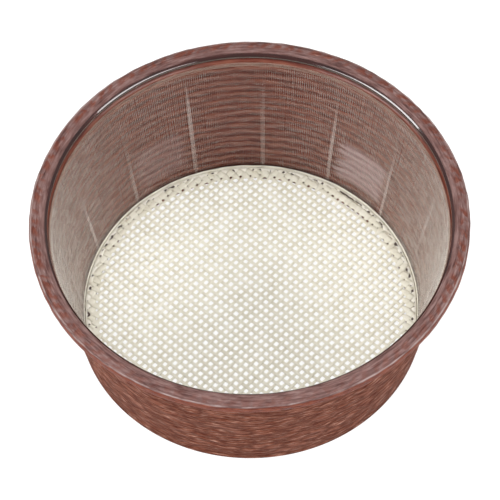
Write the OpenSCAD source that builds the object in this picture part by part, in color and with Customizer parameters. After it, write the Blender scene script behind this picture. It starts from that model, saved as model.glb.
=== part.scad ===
// Round cheese mold: a tapered fibre shell with a rolled lip, a net liner that lifts out,
// and a woven drain mat that lies on the ledge at the open foot.
// The origin is the centre of the foot, on the surface that the mold stands on. +Z is up.

/* [Shell] */
// Outer diameter across the lip
rim_d = 130; // [110:1:160]
// Height from the foot to the top of the lip
mold_h = 50.5; // [46:0.5:70]
// Outer diameter of the wall at the foot
foot_d = 106.4; // [90:0.2:107]
// Thickness of the tapered wall, measured level
wall_t = 1.32; // [1.1:0.02:2]
// Height of the lip, whose outer edge is a half round of this diameter
lip_h = 3.1; // [2.4:0.1:3.6]
// How far the lip stands out past the top of the wall
lip_overhang = 3.8; // [3:0.1:4.2]
// Width of the lip from its inner edge to its outer edge
lip_w = 4.7; // [4.4:0.05:4.9]

/* [Foot] */
// Width of the flat ring inside the foot, from its hole to the foot's outer edge
ledge_w = 5.2; // [4.6:0.1:7]
// Thickness of that ring
ledge_t = 1.2; // [1:0.1:2]

/* [Liner] */
// Level gap between the wall and the net
liner_gap = 0.45; // [0.4:0.01:0.6]
// Thickness of the net
net_t = 0.5; // [0.4:0.05:0.6]
// Thickness of the welded hoops along the net's two edges
hem_t = 0.6; // [0.5:0.05:0.65]
// Height of each hoop
hem_h = 1.6; // [1.2:0.1:2.4]
// How many stays stand round the net
stay_count = 15; // [6:1:30]
// Width of one stay
stay_w = 1.1; // [0.8:0.1:1.6]
// How far a stay stands proud of the net, towards the middle
stay_t = 0.4; // [0.3:0.05:0.45]
// Where the stays end, as a share of the mold's height
stay_reach = 0.82; // [0.5:0.01:0.85]
// Direction of the first stay from +X
stay_turn = 13; // [0:1:24]

/* [Drain mat] */
// Outer diameter of the woven mat
mat_d = 101.5; // [98:0.1:101.5]
// Thickness of the weave
mat_t = 1; // [0.8:0.1:1.2]
// Width of the melted border round the weave
border_w = 1.5; // [1:0.1:2.5]
// Height of that border
border_h = 1.1; // [0.9:0.1:1.3]

/* [Hidden] */
$fn = 180;
rim_r = rim_d / 2;
foot_r = foot_d / 2;
mat_r = mat_d / 2;
lip_inner_r = rim_r - lip_w;
// The wall ends where the lip begins.
wall_top_z = mold_h - lip_h;
wall_top_r = rim_r - lip_overhang;
slope = (wall_top_r - foot_r) / wall_top_z;
// The bead is the part of a round bar that stands out of the lip's inner side.
bead_bar_r = 1.5;
bead_proud = 0.65;
bead_z = mold_h - 1.75;
// The liner stands on the ledge and ends just under the bead.
liner_low_z = ledge_t;
liner_top_z = wall_top_z - 0.5;
// A stay starts this far above the mat's border.
stay_lift = 0.9;
stay_low_z = ledge_t + border_h + stay_lift;
stay_top_z = mold_h * stay_reach;

function stay_name(i) = str("stay_", i < 10 ? "0" : "", i);
function stay_angle(i) = stay_turn + (i - 1) * 360 / stay_count;
// Radii at height z: the wall's two faces, then the liner's two faces.
function wall_out(z) = foot_r + slope * z;
function wall_in(z) = wall_out(z) - wall_t;
function liner_out(z) = wall_in(z) - liner_gap;
function liner_in(z) = liner_out(z) - net_t;

// Profile of a tapered band that lies inside the line out_low to out_high.
module band(low_z, high_z, out_low, out_high, thick) {
    polygon([[out_low - thick, low_z], [out_low, low_z],
             [out_high, high_z], [out_high - thick, high_z]]);
}

// Tapered wall, open at the top and the foot.
module shell() {
    color([0.45, 0.28, 0.23])
    rotate_extrude()
    band(0, wall_top_z, wall_out(0), wall_out(wall_top_z), wall_t);
}

// Flat-topped lip with a half-round outer edge, bonded on the end of the wall.
module rim_ring() {
    color([0.51, 0.36, 0.33])
    rotate_extrude() {
        translate([lip_inner_r, wall_top_z]) square([lip_w - lip_h / 2, lip_h]);
        translate([rim_r - lip_h / 2, wall_top_z + lip_h / 2]) circle(d = lip_h);
    }
}

// Glossy bead along the lip's inner side, which covers the wall's cut edge.
module rim_bead() {
    color([0.33, 0.13, 0.11])
    rotate_extrude()
    intersection() {
        translate([lip_inner_r - bead_proud + bead_bar_r, bead_z]) circle(r = bead_bar_r);
        translate([lip_inner_r - bead_proud, bead_z - bead_bar_r]) square([bead_proud, 2 * bead_bar_r]);
    }
}

// Flat ring inside the foot. It carries the liner and the mat, and its hole drains the whey.
module base_ring() {
    color([0.42, 0.26, 0.21])
    rotate_extrude()
    polygon([[foot_r - ledge_w, 0], [wall_in(0), 0],
             [wall_in(ledge_t), ledge_t], [foot_r - ledge_w, ledge_t]]);
}

// Tapered net between its two hoops.
module side_net() {
    low_z = liner_low_z + hem_h;
    high_z = liner_top_z - hem_h;
    color([0.80, 0.75, 0.68])
    rotate_extrude()
    band(low_z, high_z, liner_out(low_z), liner_out(high_z), net_t);
}

// One welded hoop of the liner, from low_z up.
module hem(low_z) {
    color([0.84, 0.80, 0.72])
    rotate_extrude()
    band(low_z, low_z + hem_h, liner_out(low_z), liner_out(low_z + hem_h), hem_t);
}

// Slim stay welded to the net's inner side, straight up the slope.
module stay(i) {
    turn = 2 * atan(stay_w / 2 / liner_in(stay_low_z));
    color([0.86, 0.83, 0.78])
    rotate([0, 0, stay_angle(i) - turn / 2])
    rotate_extrude(angle = turn)
    band(stay_low_z, stay_top_z, liner_in(stay_low_z), liner_in(stay_top_z), stay_t);
}

// Woven disc, lying on the ledge.
module floor_mesh() {
    color([0.91, 0.89, 0.83])
    translate([0, 0, ledge_t]) cylinder(r = mat_r - border_w, h = mat_t);
}

// Melted edge that holds the mat's threads together.
module floor_border() {
    color([0.88, 0.85, 0.78])
    rotate_extrude()
    translate([mat_r - border_w, ledge_t]) square([border_w, border_h]);
}

shell();
rim_ring();
rim_bead();
base_ring();
side_net();
hem(liner_top_z - hem_h);  // top_hem
hem(liner_low_z);  // bottom_hem
floor_mesh();
floor_border();
for (i = [1 : stay_count]) stay(i);
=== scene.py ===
import math

import bpy
import numpy as np
from mathutils import Matrix, Vector, noise


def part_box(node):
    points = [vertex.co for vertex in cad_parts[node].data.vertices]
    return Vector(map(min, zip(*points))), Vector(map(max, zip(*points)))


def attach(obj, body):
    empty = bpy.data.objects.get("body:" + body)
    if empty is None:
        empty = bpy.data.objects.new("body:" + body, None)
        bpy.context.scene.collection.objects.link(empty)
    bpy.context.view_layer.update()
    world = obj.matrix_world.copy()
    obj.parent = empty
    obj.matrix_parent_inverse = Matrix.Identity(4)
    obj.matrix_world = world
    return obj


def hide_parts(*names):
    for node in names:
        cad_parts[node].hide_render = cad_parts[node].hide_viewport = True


# The looks of a round cheese mold: a streaky fibre shell with a rolled lip and a glossy bead, a cream
# net liner over its wall, and a woven drain mat on the ledge at its foot. Lengths are in metres.

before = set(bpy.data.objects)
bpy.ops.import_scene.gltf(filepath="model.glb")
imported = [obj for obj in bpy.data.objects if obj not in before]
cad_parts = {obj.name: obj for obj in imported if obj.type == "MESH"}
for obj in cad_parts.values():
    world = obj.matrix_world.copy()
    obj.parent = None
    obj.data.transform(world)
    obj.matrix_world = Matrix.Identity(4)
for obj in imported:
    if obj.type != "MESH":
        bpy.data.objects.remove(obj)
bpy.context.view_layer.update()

MM = 0.001
FULL_TURN = 2 * math.pi
QUARTER_TURN = math.pi / 2
INNER, OUTER = 0, 1


# ---------------------------------------------------------------- sizes, from the CAD parts

def heights(node):
    """Lowest and highest z of a CAD node."""
    low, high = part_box(node)
    return low.z, high.z


def corners(node):
    """The points of a CAD node's mesh."""
    return np.array([v.co[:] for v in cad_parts[node].data.vertices])


def radii(points):
    """Distance of each point from the mold's axis."""
    return np.hypot(points[:, 0], points[:, 1])


def edge_radii(node, z):
    """Inner and outer radius of a round CAD node where it meets height z."""
    points = corners(node)
    level = radii(points[abs(points[:, 2] - z) < 0.01 * MM])
    return float(level.min()), float(level.max())


def face_line(node, side):
    """Radius as a function of height on a tapered node's INNER or OUTER face."""
    low_z, high_z = heights(node)
    low_r = edge_radii(node, low_z)[side]
    high_r = edge_radii(node, high_z)[side]
    return lambda z: low_r + (z - low_z) * (high_r - low_r) / (high_z - low_z)


wall_in = face_line("shell", INNER)
wall_out = face_line("shell", OUTER)
net_in = face_line("side_net", INNER)
net_out = face_line("side_net", OUTER)
net_low_z, net_high_z = heights("side_net")
slope = math.atan2(net_in(net_high_z) - net_in(net_low_z), net_high_z - net_low_z)
lip_low_z, mold_h = heights("rim_ring")
lip_inner_r = edge_radii("rim_ring", mold_h)[INNER]
rim_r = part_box("rim_ring")[1].x
border_in_r, border_out_r = edge_radii("floor_border", heights("floor_border")[0])

# The lip's top turns down into its outer band over this width, and a pale painted highlight runs along the
# turn.
SHOULDER_WIDTH = 0.7 * MM
shoulder_r = rim_r - SHOULDER_WIDTH


# ---------------------------------------------------------------- mesh tools

def angles(count):
    """Evenly spaced directions round the mold."""
    return np.arange(count) * FULL_TURN / count


def on_ring(radius, turn, z):
    """Points at a radius from the mold's axis, in a direction and at a height."""
    return np.stack([radius * np.cos(turn), radius * np.sin(turn), z], -1)


def arc(centre, size, start, end, count):
    """Points on a round stretch of a profile. Centre and size are (outwards, up)."""
    return [
        (centre[0] + size[0] * math.cos(a), centre[1] + size[1] * math.sin(a))
        for a in np.linspace(start, end, count)
    ]


def grid_faces(rows, columns, close_rows, close_columns):
    """Quads over a grid of points, which may close on itself either way."""
    index = np.arange(rows * columns).reshape(rows, columns)
    if close_rows:
        index = np.vstack([index, index[:1]])
    if close_columns:
        index = np.hstack([index, index[:, :1]])
    quads = [index[:-1, :-1], index[:-1, 1:], index[1:, 1:], index[1:, :-1]]
    return np.stack(quads, -1).reshape(-1, 4)


def volume(points, quads):
    """Signed volume inside a closed skin of quads."""
    a, b, c, d = (points[quads[:, k]] for k in range(4))
    return (np.cross(a, b) * c).sum() / 6 + (np.cross(a, c) * d).sum() / 6


def make_piece(name, points, faces, material, body, slot, node):
    """A smooth mesh that rides on a CAD body and stands for a CAD node."""
    mesh = bpy.data.meshes.new(name)
    mesh.from_pydata(points.tolist(), [], faces)
    mesh.polygons.foreach_set("use_smooth", [True] * len(faces))
    mesh.update()
    piece = bpy.data.objects.new(name, mesh)
    bpy.context.scene.collection.objects.link(piece)
    mesh.materials.append(material)
    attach(piece, body)
    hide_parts(node)
    return piece


def add_material(piece, material, first_face):
    """Gives a second material to the faces from first_face on."""
    piece.data.materials.append(material)
    slots = np.zeros(len(piece.data.polygons), int)
    slots[first_face:] = 1
    piece.data.polygons.foreach_set("material_index", slots)
    piece.data.update()


def turned(name, profile, steps, material, body, slot, node, shift=None):
    """A ring turned from a closed profile of (radius, z).

    shift(points) may return how far each point moves, as (outwards, up).
    """
    profile = np.array(profile)
    radius = np.repeat(profile[:, 0], steps)
    z = np.repeat(profile[:, 1], steps)
    turn = np.tile(angles(steps), len(profile))
    points = on_ring(radius, turn, z)
    if shift:
        out, up = shift(points)
        points = on_ring(radius + out, turn, z + up)
    quads = grid_faces(len(profile), steps, True, True)
    if volume(points, quads) < 0:
        quads = quads[:, ::-1]
    return make_piece(name, points, quads.tolist(), material, body, slot, node)


def tube(path, across, outward, half_width, half_height, sides, closed=False):
    """Points and faces of a thread that follows path, with an oval section.

    The half sizes are one number, or one for each point of the path.
    """
    around = angles(sides)
    wide = np.broadcast_to(half_width, len(path))[:, None, None]
    tall = np.broadcast_to(half_height, len(path))[:, None, None]
    ring = (
        path[:, None, :]
        + across[:, None, :] * wide * np.cos(around)[None, :, None]
        + outward[:, None, :] * tall * np.sin(around)[None, :, None]
    )
    points = ring.reshape(-1, 3)
    faces = grid_faces(len(path), sides, closed, True).tolist()
    if not closed:
        last = len(points) - sides
        faces += [list(range(sides))[::-1], list(range(last, last + sides))]
    return points, faces


def joined(parts):
    """Several (points, faces) parts as one."""
    points, faces, start = [], [], 0
    for part_points, part_faces in parts:
        points.append(part_points)
        faces += [[start + i for i in face] for face in part_faces]
        start += len(part_points)
    return np.concatenate(points), faces


def wander(turn, seed, waves, size):
    """A smooth random curve over the values in turn, up to about `size` either way.

    It closes over a full turn where the waves are whole numbers.
    """
    rng = np.random.default_rng(seed)
    total = np.zeros_like(turn)
    for wave in waves:
        total += rng.normal() * np.sin(wave * turn + rng.uniform(0, FULL_TURN))
    return size * total / math.sqrt(len(waves))


def patches(points, along, up, seed):
    """Noise from about -1 to 1 in patches `along` wide round the mold and `up` tall."""
    scale = np.array([1 / along, 1 / along, 1 / up])
    return np.array([noise.noise(Vector(p)) for p in points * scale + seed])


# ---------------------------------------------------------------- materials

class Shader:
    """A material whose nodes are added one at a time. Sizes are in metres."""

    def __init__(self, name):
        self.material = bpy.data.materials.new(name)
        self.material.use_nodes = True
        self.tree = self.material.node_tree
        self.surface = self.tree.nodes["Principled BSDF"]
        self.place = self.tree.nodes.new("ShaderNodeTexCoord").outputs["Object"]

    def put(self, value, socket):
        """Links another node's output to a socket, or sets the socket to a value."""
        if isinstance(value, bpy.types.NodeSocket):
            self.tree.links.new(value, socket)
        else:
            socket.default_value = value

    def vector(self, operation, a, b=(0, 0, 0), output="Vector"):
        """The outcome of a sum on vectors, such as ADD or LENGTH."""
        node = self.tree.nodes.new("ShaderNodeVectorMath")
        node.operation = operation
        self.put(a, node.inputs[0])
        self.put(b, node.inputs[1])
        return node.outputs[output]

    def maths(self, operation, a, b=0.0):
        """The outcome of a sum on numbers, such as SUBTRACT or SINE."""
        node = self.tree.nodes.new("ShaderNodeMath")
        node.operation = operation
        self.put(a, node.inputs[0])
        self.put(b, node.inputs[1])
        return node.outputs[0]

    def times(self, a, b):
        """Two numbers multiplied."""
        return self.maths("MULTIPLY", a, b)

    def weighed(self, *pairs):
        """The sum of numbers times their weights, from (number, weight) pairs."""
        total = None
        for number, weight in pairs:
            share = self.times(number, weight)
            total = share if total is None else self.maths("ADD", total, share)
        return total

    def distance(self, number, middle):
        """How far a number is from the middle, either way."""
        return self.maths("ABSOLUTE", self.maths("SUBTRACT", number, middle))

    def mapped(self, factor, low, high, from_low=0.0, from_high=1.0):
        """A factor mapped from the range (from_low, from_high) to (low, high), and kept inside it."""
        node = self.tree.nodes.new("ShaderNodeMapRange")
        self.put(factor, node.inputs["Value"])
        for socket, value in zip(node.inputs[1:5], (from_low, from_high, low, high)):
            socket.default_value = value
        return node.outputs["Result"]

    def axis(self, number, place=None):
        """One of the coordinates of a place: 0 is x, 1 is y and 2 is the height."""
        split = self.tree.nodes.new("ShaderNodeSeparateXYZ")
        self.put(place or self.place, split.inputs[0])
        return split.outputs[number]

    def ring_place(self):
        """Places pulled onto one circle, so that noise runs round the ring, with their turn and radius."""
        turn = self.maths("ARCTAN2", self.axis(1), self.axis(0))
        flat = self.vector("MULTIPLY", self.place, (1, 1, 0))
        radius = self.vector("LENGTH", flat, output="Value")
        circle = self.vector("MULTIPLY", self.vector("NORMALIZE", flat), (rim_r, rim_r, 0))
        height = self.vector("MULTIPLY", self.place, (0, 0, 1))
        return self.vector("ADD", circle, height), turn, radius

    def noise(self, along, up, detail=3.0, roughness=0.55, place=None, radius=None, across=1.0,
              colour=False):
        """Noise in patches `along` wide and `up` tall.

        Given a radius, it also changes with that over the distance `across`.
        """
        node = self.tree.nodes.new("ShaderNodeTexNoise")
        if radius:
            node.noise_dimensions = "4D"
            self.put(self.maths("DIVIDE", radius, across), node.inputs["W"])
        self.put(self.vector("DIVIDE", place or self.place, (along, along, up)), node.inputs["Vector"])
        node.inputs["Scale"].default_value = 1.0
        node.inputs["Detail"].default_value = detail
        node.inputs["Roughness"].default_value = roughness
        return node.outputs["Color" if colour else "Fac"]

    def drifted(self, size, reach, place=None):
        """Places moved up or down by up to about reach, so that level streaks wander."""
        drift = self.noise(size, size, detail=1.0, place=place, colour=True)
        centred = self.vector("SUBTRACT", drift, (0.5, 0.5, 0.5))
        return self.vector("ADD", place or self.place, self.vector("MULTIPLY", centred, (0, 0, 2 * reach)))

    def waves(self, place, pitch):
        """Level waves from 0 to 1, one per pitch of height."""
        sine = self.maths("SINE", self.times(self.axis(2, place), FULL_TURN / pitch))
        return self.mapped(sine, 0, 1, -1, 1)

    def ridge(self, factor, gain):
        """0 along the lines where a noise crosses its middle, rising to 1 away from them."""
        return self.mapped(self.times(self.distance(factor, 0.5), gain), 0, 1)

    def window(self, centre, half, low_z, high_z, uneven):
        """1 inside a piece of wall round the direction centre, 0 outside it.

        Its sides are as uneven as the noise given. Angles are in radians.
        """
        ragged, soft_turn, soft_z = 0.25, 0.02, MM
        _, turn, _ = self.ring_place()
        away = self.maths("ADD", self.distance(turn, centre),
                          self.times(self.maths("SUBTRACT", uneven, 0.5), ragged))
        above = self.mapped(self.axis(2), 0, 1, low_z - soft_z, low_z + soft_z)
        below = self.mapped(self.axis(2), 1, 0, high_z - soft_z, high_z + soft_z)
        beside = self.mapped(away, 1, 0, half - soft_turn, half + soft_turn)
        return self.times(self.times(above, below), beside)

    def ramp(self, factor, stops):
        """Colours along a factor, from (position, (r, g, b)) stops."""
        node = self.tree.nodes.new("ShaderNodeValToRGB")
        self.put(factor, node.inputs["Fac"])
        elements = node.color_ramp.elements
        while len(elements) < len(stops):
            elements.new(0.5)
        for element, (position, colour) in zip(elements, stops):
            element.position = position
            element.color = (*colour, 1)
        return node.outputs["Color"]

    def painted(self, colour, share, paint):
        """A colour with a share of paint over it. The paint is (r, g, b) or another node's colour."""
        node = self.tree.nodes.new("ShaderNodeMixRGB")
        if isinstance(paint, tuple):
            paint = (*paint, 1)
        for value, socket in zip((share, colour, paint), node.inputs):
            self.put(value, socket)
        return node.outputs["Color"]

    def bump(self, height, distance, strength):
        """Tilts the surface by a height from 0 to 1, where 1 stands for the distance."""
        node = self.tree.nodes.new("ShaderNodeBump")
        node.inputs["Strength"].default_value = strength
        node.inputs["Distance"].default_value = distance
        self.put(height, node.inputs["Height"])
        self.put(node.outputs["Normal"], self.surface.inputs["Normal"])

    def finish(self, **values):
        """Sets the surface's sockets, such as base_color or coat_weight, and returns the material."""
        names = {socket.name.lower().replace(" ", "_"): socket for socket in self.surface.inputs}
        for name, value in values.items():
            self.put(value, names[name])
        return self.material


def srgb(red, green, blue):
    """A colour as 0 to 255 in sRGB, turned into the linear values that shaders take."""
    def linear(value):
        value /= 255
        return value / 12.92 if value <= 0.04045 else ((value + 0.055) / 1.055) ** 2.4
    return linear(red), linear(green), linear(blue)


STRAND_PITCH = 2.7 * MM
# Each painted reflection of a softbox on the inner wall, a paler striped patch: its direction in degrees,
# and how strong it is.
PAINTED_REFLECTIONS = ((49, 0.8), (121, 0.25))
REFLECTION_HALF = math.radians(9)
REFLECTION_LOW, REFLECTION_HIGH = 6 * MM, 21 * MM


def fibre_outside():
    """Rough red-brown laminate: level strands that cross and split, dark between, with pale fibres."""
    shader = Shader("fibre_outside")
    place = shader.drifted(22 * MM, 2.6 * MM)
    place = shader.drifted(6 * MM, 0.9 * MM, place)
    strands = shader.noise(7 * MM, 2.0 * MM, detail=2.0, roughness=0.5, place=place)
    body = shader.ridge(strands, 6.5)
    fibres = shader.noise(3.4 * MM, 0.62 * MM, detail=4.0, roughness=0.65, place=place)
    colour = shader.ramp(fibres, [
        (0.30, srgb(80, 35, 22)),
        (0.45, srgb(113, 62, 45)),
        (0.57, srgb(137, 88, 71)),
        (0.70, srgb(188, 148, 130)),
    ])
    pale = shader.noise(20 * MM, 6 * MM, detail=2.0, roughness=0.5, place=place)
    colour = shader.painted(colour, shader.mapped(pale, 0, 0.35, 0.48, 0.7), srgb(142, 98, 84))
    colour = shader.painted(colour, shader.mapped(body, 0.7, 0), srgb(66, 25, 13))
    shader.bump(shader.weighed((body, 0.7), (fibres, 0.7)), 0.5 * MM, 0.9)
    rough = shader.mapped(fibres, 0.8, 0.6, 0.3, 0.7)
    return shader.finish(base_color=colour, roughness=rough, specular_ior_level=0.06)


def fibre_inside():
    """The laminate's smoother inner face: level strands under a thin coat, with two painted softbox
    reflections as paler striped patches.
    """
    shader = Shader("fibre_inside")
    place = shader.drifted(12 * MM, 1.2 * MM)
    place = shader.drifted(4 * MM, 0.5 * MM, place)
    rows = shader.waves(place, STRAND_PITCH)
    strands = shader.noise(7 * MM, 0.8 * MM, roughness=0.6, place=place)
    colour = shader.ramp(shader.weighed((rows, 0.25), (strands, 0.75)), [
        (0.28, srgb(70, 23, 13)),
        (0.48, srgb(97, 39, 25)),
        (0.68, srgb(126, 70, 53)),
    ])
    # Painted reflections: paler striped patches where the softboxes would reflect in the glossy wall.
    for centre, share in PAINTED_REFLECTIONS:
        reflection = shader.window(math.radians(centre), REFLECTION_HALF,
                              REFLECTION_LOW, REFLECTION_HIGH, strands)
        striped_reflection = shader.times(reflection, shader.mapped(rows, 0.6 * share, share, 0.2, 0.7))
        colour = shader.painted(colour, striped_reflection, srgb(168, 144, 145))
    shader.bump(shader.weighed((rows, 0.3), (strands, 0.5)), 0.3 * MM, 0.6)
    return shader.finish(base_color=colour, roughness=0.5, specular_ior_level=0.2,
                         coat_weight=0.3, coat_roughness=0.2)


# The lip's binding: wraps round the ring, how fast they slant with the radius, and how they waver.
LIP_WRAPS = 102
WRAP_SLANT = 1100.0
WRAP_WAVER = 14.0


def lip_wraps(shader, turn, radius, blots):
    """The lip's slanted wraps, and its share of red-brown, which is less at the front and both edges."""
    slant = shader.weighed((turn, LIP_WRAPS), (radius, WRAP_SLANT), (blots, WRAP_WAVER))
    wraps = shader.maths("SINE", slant)
    from_inside = shader.mapped(radius, 0.1, 1, lip_inner_r + 1.2 * MM, lip_inner_r + 2.2 * MM)
    from_outside = shader.mapped(radius, 1, 0.2, shoulder_r - 0.4 * MM, shoulder_r)
    from_front = shader.mapped(shader.axis(1), 0.35, 1, -0.9 * rim_r, -0.4 * rim_r)
    share = shader.mapped(shader.weighed((wraps, 0.12), (blots, 1)), 0, 0.85, 0.4, 0.62)
    return wraps, shader.times(share, shader.times(shader.times(from_inside, from_outside), from_front))


def lip_fibre():
    """Satin binding of the lip: mauve-grey with red-brown wraps, a red-brown band and a painted highlight
    as a pale line along the outer edge.
    """
    shader = Shader("lip_fibre")
    place, turn, radius = shader.ring_place()
    streaks = shader.noise(6 * MM, 1.2 * MM, roughness=0.6, place=place, radius=radius, across=0.7 * MM)
    fibres = shader.noise(3 * MM, 0.5 * MM, roughness=0.65, place=place, radius=radius, across=0.3 * MM)
    blots = shader.noise(4.2 * MM, 2.5 * MM, roughness=0.6, place=place, radius=radius, across=2.4 * MM)
    wraps, brown_share = lip_wraps(shader, turn, radius, blots)
    grey = shader.ramp(streaks, [
        (0.32, srgb(74, 46, 43)),
        (0.48, srgb(102, 74, 70)),
        (0.66, srgb(130, 103, 99)),
    ])
    brown = shader.ramp(fibres, [
        (0.3, srgb(68, 27, 17)),
        (0.5, srgb(100, 46, 31)),
        (0.7, srgb(128, 74, 56)),
    ])
    band = shader.ramp(fibres, [
        (0.3, srgb(72, 29, 17)),
        (0.5, srgb(108, 50, 33)),
        (0.7, srgb(138, 80, 60)),
    ])
    flecks = shader.mapped(fibres, 0, 0.4, 0.6, 0.75)
    dents = shader.mapped(streaks, 0.6, 0, 0.28, 0.42)
    below_top = shader.mapped(shader.axis(2), 1, 0, mold_h - 0.8 * MM, mold_h - 0.6 * MM)
    # A painted highlight: a pale line along the top of the shoulder.
    outermost = shader.mapped(radius, 0, 1, shoulder_r - 0.1 * MM, shoulder_r)
    above_band = shader.mapped(shader.axis(2), 0, 1, mold_h - 0.6 * MM, mold_h - 0.5 * MM)
    edge_highlight = shader.times(shader.times(outermost, above_band), shader.mapped(streaks, 0.1, 1, 0.42, 0.6))
    colour = shader.painted(grey, brown_share, brown)
    colour = shader.painted(colour, flecks, srgb(172, 150, 144))
    colour = shader.painted(colour, dents, srgb(62, 32, 27))
    colour = shader.painted(colour, below_top, band)
    colour = shader.painted(colour, edge_highlight, srgb(152, 133, 129))
    shader.bump(shader.weighed((wraps, 0.25), (streaks, 1), (fibres, 1)), 0.25 * MM, 0.8)
    rough = shader.mapped(fibres, 0.4, 0.6, 0.3, 0.7)
    return shader.finish(base_color=colour, roughness=rough, specular_ior_level=0.2)


def bead_resin():
    """Glossy dark red resin, a little clouded, with runs that follow the ring."""
    shader = Shader("bead_resin")
    place, _, radius = shader.ring_place()
    clouds = shader.noise(9 * MM, 1.5 * MM, roughness=0.6, place=place, radius=radius, across=1.0 * MM)
    colour = shader.ramp(clouds, [
        (0.30, srgb(32, 6, 3)),
        (0.55, srgb(50, 12, 7)),
        (0.75, srgb(74, 25, 18)),
    ])
    shader.bump(clouds, 0.06 * MM, 0.4)
    rough = shader.mapped(clouds, 0.1, 0.2, 0.3, 0.7)
    return shader.finish(base_color=colour, roughness=rough, specular_ior_level=0.2,
                         coat_weight=1.0, coat_roughness=0.05)


def cream_thread(name, dark, light, alpha, roughness):
    """Cream plastic thread, a little uneven in tone along its length."""
    shader = Shader(name)
    tone = shader.noise(5 * MM, 2 * MM, detail=4.0, roughness=0.6)
    colour = shader.ramp(tone, [(0.3, dark), (0.7, light)])
    fine = shader.noise(0.5 * MM, 0.5 * MM, detail=2.0)
    shader.bump(fine, 0.03 * MM, 0.5)
    rough = shader.mapped(fine, roughness - 0.07, roughness + 0.07, 0.3, 0.7)
    return shader.finish(base_color=colour, roughness=rough, alpha=alpha, specular_ior_level=0.5)


def stay_film():
    """Pale clear plastic that fades out upwards, whiter on some stays than on others."""
    shader = Shader("stay_film")
    tone = shader.noise(24 * MM, 50 * MM, detail=1.0)
    colour = shader.ramp(tone, [(0.35, srgb(206, 190, 180)), (0.65, srgb(240, 232, 226))])
    fade = shader.mapped(shader.axis(2), 1, 0.35, 14 * MM, 36 * MM)
    alpha = shader.times(shader.mapped(tone, 0.1, 0.24, 0.4, 0.66), fade)
    rough = shader.mapped(shader.noise(MM, MM), 0.25, 0.4, 0.3, 0.7)
    return shader.finish(base_color=colour, roughness=rough, alpha=alpha)


def net_thread(name, low_alpha, high_alpha):
    """Thin clear net thread, whiter in places."""
    shader = Shader(name)
    tone = shader.noise(5 * MM, 0.9 * MM, roughness=0.6)
    colour = shader.ramp(tone, [(0.3, srgb(238, 229, 216)), (0.7, srgb(252, 248, 240))])
    alpha = shader.mapped(tone, low_alpha, high_alpha, 0.4, 0.6)
    rough = shader.mapped(shader.noise(0.5 * MM, 0.5 * MM, detail=2.0), 0.35, 0.5, 0.3, 0.7)
    return shader.finish(base_color=colour, roughness=rough, alpha=alpha)


def mat_edge_plastic():
    """The mat's cream plastic, melted together at the edge, with dark spots painted in small dents along
    its middle as holes: painted shade, together with the brown of the ledge that shows through such holes.
    """
    shader = Shader("mat_edge")
    tone = shader.noise(5 * MM, 2 * MM, detail=4.0, roughness=0.6)
    colour = shader.ramp(tone, [(0.3, srgb(236, 232, 216)), (0.7, srgb(249, 247, 236))])
    _, _, radius = shader.ring_place()
    off_middle = shader.distance(radius, (border_in_r + border_out_r) / 2)
    near = shader.mapped(off_middle, 1, 0, 0.35 * MM, 0.6 * MM)
    # Dark spots painted as holes: painted shade over the ledge's brown.
    hole_spots = shader.mapped(shader.noise(1.2 * MM, 3 * MM, detail=0.0), 0, 1, 0.58, 0.63)
    hole_shade = shader.times(near, hole_spots)
    colour = shader.painted(colour, hole_shade, srgb(66, 50, 40))
    shader.bump(shader.weighed((tone, 0.3), (hole_shade, -1)), 0.3 * MM, 0.6)
    return shader.finish(base_color=colour, roughness=0.5)


def floor_white():
    """Plain near-white studio floor."""
    shader = Shader("studio_floor")
    tone = shader.noise(0.4, 0.4, detail=2.0)
    colour = shader.ramp(tone, [(0.3, (0.23, 0.23, 0.23)), (0.7, (0.25, 0.25, 0.25))])
    return shader.finish(base_color=colour, roughness=0.8,
                         emission_color=(1, 1, 1, 1), emission_strength=0.84)


# ---------------------------------------------------------------- shell, lip, bead and ledge

WALL_STEPS = 720
WALL_OUTER_ROWS = 112
WALL_INNER_ROWS = 14
WALL_RELIEF = 0.34 * MM
STRAND_LENGTH = 10 * MM
STRAND_HEIGHT = 2.4 * MM

RING_STEPS = 480
LIP_RELIEF = 0.15 * MM
LIP_TRIM = 0.1 * MM
LIP_TRIM_SWAY = 0.05 * MM
LIP_TRIM_WAVES = (3, 5, 9, 14, 23)
LIP_SEED = 8
LEDGE_RELIEF = 0.12 * MM
LEDGE_EASE = 0.3 * MM

# The bead's face, from its top down: the radius of each bend, and the degrees it runs from and to.
BEAD_BENDS = ((5.5 * MM, 53, 44), (0.45 * MM, 44, 0), (3.0 * MM, 0, -36))


def strand_relief(points):
    """The outward move of each point of the outer face: 0 or less, and nearest to 0 on the strands."""
    drift = patches(points, 30 * MM, 20 * MM, seed=3.0) * MM
    drifted = points + np.outer(drift, (0, 0, 1))
    strand = patches(drifted, STRAND_LENGTH, STRAND_HEIGHT, seed=11.0)
    split = patches(drifted, STRAND_LENGTH / 2, STRAND_HEIGHT / 2, seed=27.0)
    return -WALL_RELIEF * (0.5 - 0.5 * strand + 0.5 * np.clip(split, 0, 1))


def make_shell(outside, inside):
    """The tapered wall: strands in relief outside, smooth inside."""
    low_z, high_z = heights("shell")
    outer = [(wall_out(z), z) for z in np.linspace(low_z, high_z, WALL_OUTER_ROWS)]
    inner = [(wall_in(z), z) for z in np.linspace(high_z, low_z, WALL_INNER_ROWS)]
    first_inner = (WALL_OUTER_ROWS - 1) * WALL_STEPS

    def relief(points):
        out = np.zeros(len(points))
        out[WALL_STEPS:first_inner] = strand_relief(points[WALL_STEPS:first_inner])
        return out, 0

    shell = turned("shell_wall", outer + inner, WALL_STEPS, outside,
                   "shell", "shell_fibre", "shell", relief)
    add_material(shell, inside, first_inner)


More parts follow.
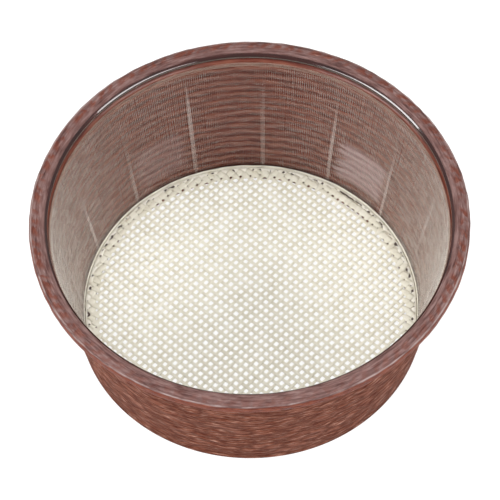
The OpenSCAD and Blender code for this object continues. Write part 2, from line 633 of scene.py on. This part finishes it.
def lip_profile():
    """Closed outline of the lip: underside, outward band, soft shoulder, slight crown and flat top."""
    under_r = rim_r - 0.8 * MM
    foot_h = 0.9 * MM
    shoulder_z = mold_h - 1.1 * MM
    shoulder_h = 0.75 * MM
    crown_r = shoulder_r - 1.8 * MM
    crown_z = shoulder_z + shoulder_h
    ease = 0.45 * MM
    under = [(r, lip_low_z) for r in np.linspace(lip_inner_r, under_r, 6)]
    band = arc((shoulder_r, lip_low_z + foot_h), (SHOULDER_WIDTH, foot_h), -QUARTER_TURN, 0, 8)
    shoulder = arc((shoulder_r, shoulder_z), (SHOULDER_WIDTH, shoulder_h), 0, QUARTER_TURN, 9)
    crown = [
        (shoulder_r + (crown_r - shoulder_r) * share, crown_z + (mold_h - crown_z) * math.sin(share * QUARTER_TURN))
        for share in np.linspace(0, 1, 7)
    ]
    top = [(r, mold_h) for r in np.linspace(crown_r, lip_inner_r + ease, 6)]
    inner = arc((lip_inner_r + ease, mold_h - ease), (ease, ease), QUARTER_TURN, math.pi, 6)
    return under + band[1:] + shoulder + crown[1:] + top[1:] + inner[1:]


def lip_relief(points):
    """Slightly lumpy hand-trimmed edge, which stays inside the CAD ring."""
    turn = np.arctan2(points[:, 1], points[:, 0])
    share = np.clip((radii(points) - lip_inner_r) / (rim_r - lip_inner_r), 0, 1)
    lumps = patches(points, 3 * MM, 2.5 * MM, seed=5.0)
    edge = wander(turn, LIP_SEED, LIP_TRIM_WAVES, LIP_TRIM_SWAY) - LIP_TRIM
    out = share * np.minimum(edge + LIP_RELIEF * lumps, 0)
    above_foot = points[:, 2] > lip_low_z + MM
    up = np.where(above_foot, -0.5 * LIP_RELIEF * (1 - lumps) * share, 0)
    return out, up


def make_lip(material):
    """The lip, turned from its outline."""
    turned("lip", lip_profile(), WALL_STEPS, material, "shell", "lip_fibre", "rim_ring", lip_relief)


def make_bead(material):
    """Glossy bead inside the lip: a bevel that faces up and inwards, then a round nose."""
    r, z = lip_inner_r, heights("rim_bead")[1]
    face = [(r, z)]
    for bend, first, last in BEAD_BENDS:
        start, end = math.radians(first), math.radians(last)
        centre = (r + bend * math.cos(start), z - bend * math.sin(start))
        face += arc(centre, (-bend, bend), start, end, 8)[1:]
        r, z = face[-1]
    profile = face + [(lip_inner_r, z)]
    turned("lip_bead", profile, RING_STEPS, material, "shell", "bead_resin", "rim_bead")


def make_ledge(material):
    """Flat ring inside the foot, with eased inner edges."""
    low_z, high_z = heights("base_ring")
    hole_r = edge_radii("base_ring", low_z)[INNER]
    size = (-LEDGE_EASE, LEDGE_EASE)
    upper = arc((hole_r + LEDGE_EASE, high_z - LEDGE_EASE), size, QUARTER_TURN, 0, 5)
    lower = arc((hole_r + LEDGE_EASE, low_z + LEDGE_EASE), size, 0, -QUARTER_TURN, 5)
    outer = [(wall_in(low_z), low_z), (wall_in(high_z), high_z)]

    def relief(points):
        lumps = patches(points, 6 * MM, 2 * MM, seed=17.0)
        return np.where(radii(points) < hole_r + MM, LEDGE_RELIEF * lumps, 0), 0

    turned("ledge", upper + lower + outer, RING_STEPS, material,
           "shell", "shell_fibre", "base_ring", relief)


# ---------------------------------------------------------------- net liner

# Each row has four fine level threads, at these heights from its middle, and a gap above and below.
ROW_STRANDS = (-0.69 * MM, -0.23 * MM, 0.23 * MM, 0.69 * MM)
ROW_HALF = 0.055 * MM
ROW_PITCH = 2.7 * MM
ROW_SWAY = 0.23 * MM
ROW_SWAY_WAVES = (11, 23, 37, 48, 61, 73)
net_row_count = round((net_high_z - net_low_z) / ROW_PITCH)

# How a level thread strays up and down, and how its thickness varies, as a share and within limits.
LEVEL_STEPS = 280
LEVEL_STRAY = 0.05 * MM
LEVEL_STRAY_WAVES = (19, 35, 52)
THICKNESS_SPREAD = 0.3
THICKNESS_WAVES = (7, 13, 29, 41, 57)
THINNEST, THICKEST = 0.3, 1.6

UPRIGHTS = 560
UPRIGHT_HALF_WIDTH = 0.02 * MM
UPRIGHT_HALF_DEPTH = 0.24 * MM
UPRIGHT_FOOT = 0.5 * MM
UPRIGHT_STRAY = 0.0012  # radians round the mold
UPRIGHT_STRAY_WAVES = (0.4, 0.9)

HEM_STRANDS = 4
HEM_THREAD_SHARE = 0.42

STAY_STEPS = 40
STAY_SWAY = 0.15 * MM
STAY_SWAY_WAVES = (1, 2, 4)
STAY_WIDEST, STAY_NARROWEST = 1.2, 0.95

# The seeds of the random curves, to which a row's, thread's or stay's number is added.
ROW_SEED, THREAD_SEED, UPRIGHT_SEED, HEM_SEED, STAY_SEED = 100, 1000, 900, 110, 500

# Directions (outwards, up) along the wall and square to it, towards the mold's axis.
UP_SLOPE = (math.sin(slope), math.cos(slope))
OFF_SLOPE = (-math.cos(slope), math.sin(slope))


def wall_vector(turn, direction):
    """A direction (outwards, up) as a vector, at each place in turn."""
    return on_ring(direction[0], turn, direction[1] + 0 * turn)


def level_thread(node, z, seed, sway, half, sides):
    """One closed thread round a tapered node, in the middle of its thickness, near height z."""
    inner, outer = face_line(node, INNER), face_line(node, OUTER)
    turn = angles(LEVEL_STEPS)
    height = z + sway + wander(turn, seed, LEVEL_STRAY_WAVES, LEVEL_STRAY)
    path = on_ring((inner(height) + outer(height)) / 2, turn, height)
    thick = half * (1 + wander(turn, seed + 1, THICKNESS_WAVES, THICKNESS_SPREAD))
    thick = np.clip(thick, THINNEST * half, THICKEST * half)
    across, outward = wall_vector(turn, UP_SLOPE), wall_vector(turn, OFF_SLOPE)
    return tube(path, across, outward, thick, thick, sides, closed=True)


def upright_thread(number, z):
    """One thread up the net: a thin tape set on edge."""
    stray = wander(np.arange(len(z)) / 2, UPRIGHT_SEED + number, UPRIGHT_STRAY_WAVES, UPRIGHT_STRAY)
    turn = (number + 0.5) * FULL_TURN / UPRIGHTS + stray
    path = on_ring((net_in(z) + net_out(z)) / 2, turn, z)
    across = np.stack([-np.sin(turn), np.cos(turn), 0 * turn], -1)
    return tube(path, across, wall_vector(turn, OFF_SLOPE), UPRIGHT_HALF_WIDTH, UPRIGHT_HALF_DEPTH, 4)


def net_rows():
    """The net's level threads, in rows that sway up and down together."""
    pitch = (net_high_z - net_low_z) / net_row_count
    parts = []
    for row in range(net_row_count):
        middle = net_low_z + (row + 0.5) * pitch
        sway = wander(angles(LEVEL_STEPS), ROW_SEED + row, ROW_SWAY_WAVES, ROW_SWAY)
        for strand, offset in enumerate(ROW_STRANDS):
            seed = THREAD_SEED + 10 * row + 2 * strand
            parts.append(level_thread("side_net", middle + offset, seed, sway, ROW_HALF, 3))
    return parts


def net_uprights():
    """The net's uprights, from behind the lower hem to the top of the net."""
    z = np.linspace(net_low_z - UPRIGHT_FOOT, net_high_z, net_row_count + 1)
    return [upright_thread(number, z) for number in range(UPRIGHTS)]


def unrolled_net():
    """The net's size and area when its cone is laid flat, as a curved strip."""
    low_r = net_in(net_low_z) / math.sin(slope)
    high_r = net_in(net_high_z) / math.sin(slope)
    spread = FULL_TURN * math.sin(slope)
    width = 2 * high_r * math.sin(spread / 2)
    length = high_r - low_r * math.cos(spread / 2)
    return (width, length), (high_r ** 2 - low_r ** 2) * spread / 2


def make_net(level_material, upright_material):
    """Rows of fine level threads with a gap between rows, and uprights set on edge through them."""
    rows = net_rows()
    points, faces = joined(rows + net_uprights())
    net = make_piece("net_liner", points, faces, level_material, "liner", "liner_net", "side_net")
    add_material(net, upright_material, sum(len(row_faces) for _, row_faces in rows))
    flat, area = unrolled_net()


def make_hem(name, node, share, material):
    """The net's edge, gathered into close level threads over a share of the hem's height."""
    low_z, high_z = heights(node)
    pitch = share * (high_z - low_z) / HEM_STRANDS
    half = HEM_THREAD_SHARE * pitch
    points, faces = joined([
        level_thread(node, low_z + (strand + 0.5) * pitch, HEM_SEED + strand, 0, half, 6)
        for strand in range(HEM_STRANDS)
    ])
    return make_piece(name, points, faces, material, "liner", "liner_hem", node)


def stay_taper(share):
    """A stay's size along its height: a short round foot, and a long thin tip."""
    foot = np.clip(share / 0.05, 0.15, 1) ** 0.5
    tip = np.clip((1 - share) / 0.4, 0.1, 1) ** 0.6
    return foot * tip


def make_stay(number, material):
    """One slim stay with a round face, tapered at both ends."""
    node = f"stay_{number:02d}"
    points = corners(node)
    low_z, high_z = points[:, 2].min(), points[:, 2].max()
    middle = points.mean(0)
    turn = math.atan2(middle[1], middle[0])
    ahead = np.array([math.cos(turn), math.sin(turn), 0.0])
    side = np.array([-ahead[1], ahead[0], 0.0])
    proud = net_in(low_z) - radii(points[points[:, 2] < low_z + MM]).min()
    z = np.linspace(low_z, high_z, STAY_STEPS)
    share = (z - low_z) / (high_z - low_z)
    sway = wander(share * math.pi, STAY_SEED + number, STAY_SWAY_WAVES, STAY_SWAY)
    path = np.outer(net_in(z) - proud / 2, ahead) + np.outer(sway, side)
    path[:, 2] = z
    across = np.tile(side, (len(z), 1))
    inward = wall_vector(np.full(len(z), turn), OFF_SLOPE)
    taper = stay_taper(share)
    widening = np.random.default_rng(number).uniform(STAY_NARROWEST, STAY_WIDEST)
    broad = abs(points @ side).max() * widening
    part = tube(path, across, inward, broad * taper, proud / 2 * taper, 12)
    make_piece(f"net_{node}", *part, material, "liner", "liner_stay", node)


# ---------------------------------------------------------------- drain mat

# The mat's threads run two ways, so pitches and widths come in pairs.
MAT_TURN = math.radians(47.5)
MAT_PITCHES = (2.07 * MM, 2.31 * MM)
MAT_THREAD_WIDTHS = (0.98 * MM, 1.09 * MM)
MAT_THREAD_HALF_HEIGHT = 0.12 * MM
MAT_THREAD_EXTRA = 0.7 * MM
MAT_THREAD_SIDES = 8
MAT_SEED = 40

# How uneven the mat is: from one thread to the next a shift (in mm) and a share of the width, along
# each thread a slow bend, and at each crossing a swelling.
MAT_SHIFT_MM = 0.03
MAT_WIDTH_SPREAD = 0.03
MAT_BEND = 0.05 * MM
MAT_BEND_LENGTH = 17 * MM
MAT_SWELLING = 0.05
MAT_STEPS_PER_CROSSING = 6
MAT_FEWEST_STEPS = 4
WEAVE_RISE = 0.10 * MM

# Between these radii the threads grow wider, by up to this share, and close the holes.
FADE_FROM, FADE_TO = 46.8 * MM, 49.0 * MM
EDGE_SPREAD = 1.25

BORDER_EXTRA = 0.18 * MM
BORDER_SIDES = 14
BORDER_RELIEF = 0.2 * MM


def mat_threads(direction, reach, middle_z):
    """All the threads of one direction, over and under those of the other.

    Near the mat's edge they are pressed wider, and the holes close.
    """
    turn = MAT_TURN + direction * QUARTER_TURN
    sign = 1 - 2 * direction
    along = np.array([math.cos(turn), math.sin(turn), 0.0])
    aside = np.array([-math.sin(turn), math.cos(turn), 0.0]) * sign
    pitch, other = MAT_PITCHES[direction], MAT_PITCHES[1 - direction]
    rng = np.random.default_rng(MAT_SEED + direction)
    parts = []
    last = int(reach / pitch)
    for k in range(-last, last + 1):
        offset = k * pitch
        shift = rng.normal(0, MAT_SHIFT_MM) * MM
        phase = rng.uniform(0, 6)
        broad = 1 + rng.normal(0, MAT_WIDTH_SPREAD)
        half_length = math.sqrt(reach ** 2 - offset ** 2)
        steps = max(MAT_FEWEST_STEPS, int(MAT_STEPS_PER_CROSSING * half_length / other))
        s = np.linspace(-half_length, half_length, steps)
        stray = offset + shift + MAT_BEND * np.sin(s / MAT_BEND_LENGTH + phase)
        path = np.outer(s, along) + np.outer(stray, aside)
        path[:, 2] = middle_z + WEAVE_RISE * np.cos(math.pi * (s / other + k)) * sign
        faded = np.clip((np.hypot(s, offset) - FADE_FROM) / (FADE_TO - FADE_FROM), 0, 1)
        uneven = broad + MAT_SWELLING * np.cos(FULL_TURN * s / other)
        half_width = MAT_THREAD_WIDTHS[direction] / 2 * (1 + EDGE_SPREAD * faded) * uneven
        across = np.tile(aside, (len(s), 1))
        upward = np.tile((0.0, 0.0, 1.0), (len(s), 1))
        parts.append(tube(path, across, upward, half_width, MAT_THREAD_HALF_HEIGHT, MAT_THREAD_SIDES))
    return parts


def make_mat(material):
    """The woven floor, whose threads run out into the melted edge."""
    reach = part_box("floor_mesh")[1].x + MAT_THREAD_EXTRA
    middle_z = heights("floor_mesh")[1] - MAT_THREAD_HALF_HEIGHT - WEAVE_RISE
    points, faces = joined(mat_threads(0, reach, middle_z) + mat_threads(1, reach, middle_z))
    mat = make_piece("drain_mat", points, faces, material, "mat", "mat_weave", "floor_mesh")


def make_mat_border(material):
    """The melted edge: a low round bar with the ends of the threads showing as lumps."""
    low_z, high_z = heights("floor_border")
    half_w = (border_out_r - border_in_r) / 2 + BORDER_EXTRA
    half_h = (high_z - low_z) / 2
    centre = (border_in_r + half_w, low_z + half_h)
    profile = arc(centre, (half_w, half_h), 0, FULL_TURN, BORDER_SIDES + 1)[:-1]

    def relief(points):
        lumps = patches(points, 1.1 * MM, 1.0 * MM, seed=61.0)
        outer_share = np.clip((radii(points) - border_in_r) / (border_out_r - border_in_r), 0, 1)
        upper_share = (points[:, 2] - low_z) / (high_z - low_z)
        notches = np.clip(3 * lumps - 0.9, 0, 1)
        return -BORDER_RELIEF * notches * outer_share, -BORDER_RELIEF * (1 + 0.5 * lumps) * upper_share

    return turned("mat_border", profile, WALL_STEPS, material, "mat", "mat_border", "floor_border", relief)


# ---------------------------------------------------------------- studio

CAMERA_ELEVATION = math.radians(57)
CAMERA_ROLL = math.radians(0.96)
CAMERA_DISTANCE = 13 * rim_r
CAMERA_AIM = Vector((0, 0.07 * rim_r, mold_h / 2))
CAMERA_NEAR, CAMERA_FAR = 0.05, 20
FILL = 0.86
SENSOR = 36.0
FLOOR_HALF = 3.0
WORLD_STRENGTH = 0.5
# A ray down the side wall passes many clear threads.
CLEAR_LAYERS = 64


def make_camera():
    """Camera in front of the mold, looking down along +Y, with the lip across FILL of the view."""
    back = Vector((0, -math.cos(CAMERA_ELEVATION), math.sin(CAMERA_ELEVATION)))
    data = bpy.data.cameras.new("camera")
    data.sensor_width = SENSOR
    data.lens = SENSOR * FILL * CAMERA_DISTANCE / (2 * rim_r)
    data.clip_start = CAMERA_NEAR
    data.clip_end = CAMERA_FAR
    camera = bpy.data.objects.new("camera", data)
    turn = (-back).to_track_quat("-Z", "Y").to_matrix() @ Matrix.Rotation(-CAMERA_ROLL, 3, "Z")
    camera.matrix_world = Matrix.Translation(CAMERA_AIM + back * CAMERA_DISTANCE) @ turn.to_4x4()
    bpy.context.scene.collection.objects.link(camera)
    bpy.context.scene.camera = camera


def make_softbox(name, azimuth, elevation, distance, width, height, power):
    """An area light that faces the mold. Azimuth is counted from +X, and angles are in degrees."""
    a, e = math.radians(azimuth), math.radians(elevation)
    away = Vector((math.cos(a) * math.cos(e), math.sin(a) * math.cos(e), math.sin(e)))
    data = bpy.data.lights.new(name, "AREA")
    data.shape = "RECTANGLE"
    data.size = width
    data.size_y = height
    data.energy = power
    light = bpy.data.objects.new(name, data)
    facing = away.to_track_quat("Z", "Y").to_matrix()
    light.matrix_world = Matrix.Translation(away * distance) @ facing.to_4x4()
    bpy.context.scene.collection.objects.link(light)


def make_world():
    """White surroundings, with colours shown as they are."""
    world = bpy.data.worlds.new("studio")
    world.use_nodes = True
    background = world.node_tree.nodes["Background"]
    background.inputs["Color"].default_value = (1, 1, 1, 1)
    background.inputs["Strength"].default_value = WORLD_STRENGTH
    scene = bpy.context.scene
    scene.world = world
    scene.cycles.transparent_max_bounces = CLEAR_LAYERS
    scene.view_settings.view_transform = "Standard"


def make_floor(material):
    """A square of studio floor under the mold."""
    side = FLOOR_HALF
    mesh = bpy.data.meshes.new("floor")
    mesh.from_pydata([(-side, -side, 0), (side, -side, 0), (side, side, 0), (-side, side, 0)],
                     [], [(0, 1, 2, 3)])
    mesh.materials.append(material)
    floor = bpy.data.objects.new("floor", mesh)
    bpy.context.scene.collection.objects.link(floor)


# ---------------------------------------------------------------- the mold and its studio

make_camera()
make_world()
make_softbox("softbox_left", azimuth=207, elevation=32, distance=1.1, width=1.0, height=0.2, power=9.0)
make_softbox("softbox_right", azimuth=-38, elevation=34, distance=1.1, width=0.9, height=0.2, power=6.5)
make_softbox("softbox_top", azimuth=90, elevation=80, distance=1.3, width=1.5, height=1.5, power=11.5)
make_floor(floor_white())

make_shell(fibre_outside(), fibre_inside())
make_lip(lip_fibre())
make_bead(bead_resin())
make_ledge(fibre_outside())

hem_thread = cream_thread("hem_thread", srgb(206, 190, 172), srgb(232, 221, 204), alpha=0.1, roughness=0.4)
foot_thread = cream_thread("foot_thread", srgb(234, 229, 212), srgb(248, 245, 233),
                           alpha=1.0, roughness=0.4)
net_hems = [
    make_hem("net_hem_top", "top_hem", share=1.0, material=hem_thread),
    make_hem("net_hem_low", "bottom_hem", share=0.75, material=foot_thread),
]
level_material = net_thread("level_thread", low_alpha=0.06, high_alpha=0.14)
upright_material = net_thread("upright_thread", low_alpha=0.23, high_alpha=0.31)
make_net(level_material, upright_material)

stay_material = stay_film()
stay_count = sum(name.startswith("stay_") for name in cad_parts)
for stay_number in range(1, stay_count + 1):
    make_stay(stay_number, stay_material)

mat_edge = make_mat_border(mat_edge_plastic())
mat_thread = cream_thread("mat_thread", srgb(225, 221, 201), srgb(241, 239, 224), alpha=1.0, roughness=0.5)
make_mat(mat_thread)
